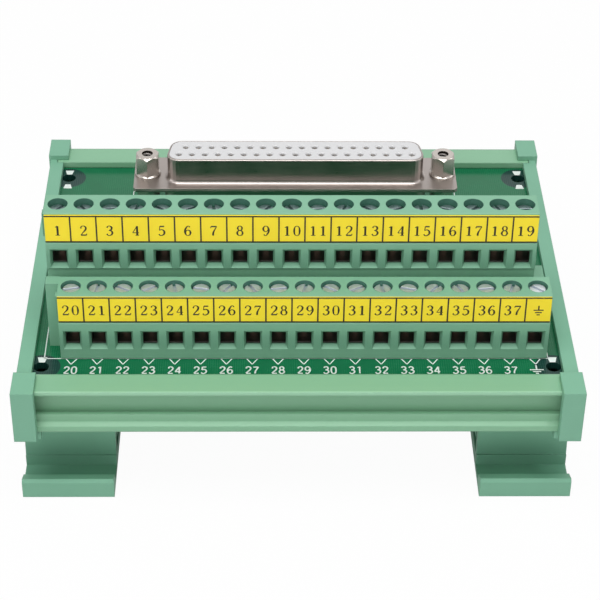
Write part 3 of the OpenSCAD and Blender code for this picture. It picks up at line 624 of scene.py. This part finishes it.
def cornerMarks(look):
    # tapered marks at the corner holes: before and behind the rear ones, behind the front ones
    shape = bmesh.new()
    low = Vector((-look["wide"] / 2, -look["deep"] / 2, -sunk))
    high = Vector((look["wide"] / 2, look["deep"] / 2, look["inkDepth"]))
    for sideX in (-1, 1):
        for sideY, ways in ((-1, (1,)), (1, (-1, 1))):
            for way in ways:
                made = bar(shape, low, high)
                near = [corner for corner in made if corner.co.y * way < 0]
                bmesh.ops.scale(shape, verts=near, vec=(look["taper"], 1, 1))
                bmesh.ops.translate(shape, verts=made, vec=(
                    sideX * cornerHoleX, sideY * cornerHoleY + way * look["away"][way], boardTop))
    newPiece("corner_marks", shape, boardInk)


cornerMarks({"wide": 1.9 * mm, "deep": 1.6 * mm, "taper": 0.6, "inkDepth": 0.02 * mm,
             "away": {-1: 3.4 * mm, 1: 2.25 * mm}})


def routeTracks(look):
    # a track from each front contact to the pin of an upper terminal: straight, slanted, straight
    for name, half, top, finish in (
            ("track_gaps", look["gapHalf"], look["gapHigh"], maskedGap),
            ("tracks", look["trackHalf"], look["trackHigh"], maskedCopper)):
        shape = bmesh.new()
        past = half * look["overlap"]
        for n, spot in enumerate(screwSpots["upper"]):
            startX, endX = (n - (poles - 1) / 2) * contactPitch, spot.x
            knots = [Vector((x, y, boardTop)) for x, y in (
                (startX, look["startY"]), (startX, look["bendY"]),
                (endX, look["bendY"] - abs(endX - startX)), (endX, look["endY"]))]
            for begin, end in zip(knots, knots[1:]):
                run = end - begin
                leg = bar(shape, (-half, -past, -sunk), (half, run.length + past, top))
                turn = Matrix.Rotation(math.atan2(-run.x, run.y), 4, "Z")
                bmesh.ops.transform(shape, matrix=Matrix.Translation(begin) @ turn, verts=leg)
        newPiece(name, shape, finish)


routeTracks({"startY": contactsLow.y + 1.0 * mm, "bendY": 9.0 * mm, "endY": -14.0 * mm,
             "gapHalf": 0.5 * mm, "gapHigh": 0.008 * mm, "overlap": 0.4,
             "trackHalf": 0.24 * mm, "trackHigh": 0.02 * mm})
print("board printed")


def solderTails(nodes, look):
    # a small cone of solder round every tail, where it comes out under the board
    shape = bmesh.new()
    for node in nodes:
        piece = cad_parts[node]
        tails = []
        for tip in (piece.matrix_world @ corner.co for corner in piece.data.vertices):
            if tip.z < boardLow.z - look["reach"]:
                home = next((tail for tail in tails
                             if (tail[0] - tip).xy.length < look["gather"]), None)
                if home:
                    home.append(tip)
                else:
                    tails.append([tip])
        for tail in tails:
            x, y = [(min(tip[i] for tip in tail) + max(tip[i] for tip in tail)) / 2
                    for i in range(2)]
            made = bmesh.ops.create_cone(
                shape, cap_ends=True, segments=look["facets"], radius1=look["tipRadius"],
                radius2=look["footRadius"], depth=look["tall"])["verts"]
            bmesh.ops.translate(shape, verts=made,
                                vec=(x, y, boardLow.z - look["tall"] / 2 + look["sunk"]))
        print("solder put round %d tails of %s" % (len(tails), node))
    newPiece("solder_cones", shape, solderTin)


solderTails(("upper_terminal_pins", "lower_terminal_pins", "dsub_contacts"), {
    "reach": 1.0 * mm, "gather": 1.2 * mm, "tall": 0.9 * mm, "tipRadius": 0.45 * mm,
    "footRadius": 0.85 * mm, "sunk": 0.01 * mm, "facets": 20})


def windThread(name, node, look, finish, body="base"):
    # a fine ridge that winds along a round wall, from its hidden root to its crest
    low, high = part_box(node)
    start = low.z + look["fromFoot"] if "fromFoot" in look else high.z - look["fromTop"]
    turns = int(look["long"] / look["lead"])
    flank = look["lead"] * look["flank"]
    shape = bmesh.new()
    corners = [shape.verts.new(spot) for spot in (
        (look["root"], 0, -flank), (look["crest"], 0, 0), (look["root"], 0, flank))]
    profile = [shape.edges.new((corners[a], corners[(a + 1) % 3])) for a in range(3)]
    shape.faces.new(corners)
    made = bmesh.ops.spin(shape, geom=profile, cent=(0, 0, 0), axis=(0, 0, 1),
                          angle=math.tau * turns, dvec=(0, 0, look["lead"] / look["facets"]),
                          steps=turns * look["facets"], use_duplicate=False)
    shape.faces.new([item for item in made["geom_last"] if isinstance(item, bmesh.types.BMVert)])
    middle = middleOf(node)
    bmesh.ops.translate(shape, verts=shape.verts, vec=(middle.x, middle.y, start))
    newPiece(name, shape, finish, body)


# flank is half the ridge's foot, as a share of the lead; the ridge starts from its lower end
postThread = {"root": 1.17 * mm, "crest": 0.95 * mm, "lead": 0.635 * mm, "long": 4.0 * mm,
              "flank": 0.4, "facets": 24, "fromTop": 4.2 * mm}
# painted shade: the post threads take the dark stampedNickel, not the posts' turnedNickel, so the
# threaded holes read dark
for side in ("left", "right"):
    windThread(f"{side}_post_threads", f"{side}_jack_post", postThread,
               stampedNickel)

screwThread = {"root": 1.18 * mm, "crest": 1.24 * mm, "lead": 0.5 * mm, "long": 3.5 * mm,
               "flank": 0.4, "facets": 14, "fromFoot": 0.35 * mm}
for level in levels:
    for n in range(poles):
        screw = f"{level}_screw_{n + 1}"
        windThread(f"{screw}_thread", screw, screwThread, shadedZinc, f"{screw}_body")
print("threads wound")


def placeCamera(look):
    down, turn, roll = (math.radians(look[key]) for key in ("down", "turn", "roll"))
    ahead = Vector((math.sin(turn) * math.cos(down), math.cos(turn) * math.cos(down),
                    -math.sin(down)))
    level = Vector((math.cos(turn), -math.sin(turn), 0))
    over = level.cross(ahead)
    right = math.cos(roll) * level + math.sin(roll) * over
    up = -math.sin(roll) * level + math.cos(roll) * over
    data = bpy.data.cameras.new("photoCamera")
    data.sensor_width = look["sensor"]
    data.lens = look["focalPixels"] / look["framePixels"] * look["sensor"]
    data.clip_start, data.clip_end = look["clip"]
    camera = bpy.data.objects.new("photoCamera", data)
    scene.collection.objects.link(camera)
    turned = Matrix((right, up, -ahead)).transposed().to_4x4()
    camera.matrix_world = Matrix.Translation(Vector(look["place"]) * mm) @ turned
    scene.camera = camera


placeCamera({"place": (-6.629, -335.992, 268.878), "down": 36.656, "turn": 1.299, "roll": 0.788,
             "focalPixels": 1951.77, "framePixels": 600, "sensor": 36.0, "clip": (0.01, 20.0)})


def layFloor(look):
    # white where it is looked at, plain and diffuse for all other light; the more lift it has,
    # the fainter is the shadow on it
    material = bpy.data.materials.new("floorWhite")
    graph = Graph(material)
    paint = graph.node("ShaderNodeBsdfDiffuse", {}, {"Color": look["paint"]})
    glow = graph.node("ShaderNodeEmission", {}, {"Strength": 1.0})
    lift = graph.seen(look["inMirrors"]) * look["lift"]
    mixed = graph.node("ShaderNodeMixShader", {}, {0: lift, 1: paint, 2: glow})
    graph.node("ShaderNodeOutputMaterial", {}, {"Surface": mixed})
    shape = bmesh.new()
    bmesh.ops.create_grid(shape, x_segments=1, y_segments=1, size=look["half"])
    mesh = bpy.data.meshes.new("floor")
    shape.to_mesh(mesh)
    shape.free()
    mesh.materials.append(material)
    floor = bpy.data.objects.new("floor", mesh)
    scene.collection.objects.link(floor)


layFloor({"half": 3.0, "lift": 0.965, "inMirrors": 0.4, "paint": (0.80, 0.80, 0.80)})

aim = Vector((0, 0, 0.03))
softboxes = {
    "topLight": {"size": (0.8, 0.5), "place": (0.0, -0.25, 0.92), "power": 6.5, "shine": 0.8},
    "frontLight": {"size": (0.8, 0.4), "place": (-0.25, -0.95, 0.5), "power": 2.4, "shine": 0.6},
    "leftLight": {"size": (0.5, 0.5), "place": (-0.85, -0.15, 0.45), "power": 1.1, "shine": 0.5},
    "rightLight": {"size": (0.5, 0.5), "place": (0.85, 0.0, 0.5), "power": 1.1, "shine": 0.5},
    "backLight": {"size": (0.7, 0.4), "place": (0.2, 0.9, 0.45), "power": 0.45, "shine": 0.1}}
for name, look in softboxes.items():
    data = bpy.data.lights.new(name, "AREA")
    data.shape = "RECTANGLE"
    data.size, data.size_y = look["size"]
    data.energy = look["power"]
    data.specular_factor = look["shine"]
    lamp = bpy.data.objects.new(name, data)
    scene.collection.objects.link(lamp)
    lamp.location = look["place"]
    lamp.rotation_euler = (aim - lamp.location).to_track_quat("-Z", "Y").to_euler()


def hangSky(look):
    # dim for the part, white where it is looked at
    scene.world = bpy.data.worlds.new("studio")
    graph = Graph(scene.world)
    strength = look["dim"] + (1 - look["dim"]) * graph.seen(look["inMirrors"])
    sky = graph.node("ShaderNodeBackground", {}, {"Color": (1.0, 1.0, 1.0), "Strength": strength})
    graph.node("ShaderNodeOutputWorld", {}, {"Surface": sky})


hangSky({"dim": 0.3, "inMirrors": 0.7})
print("camera and studio set")
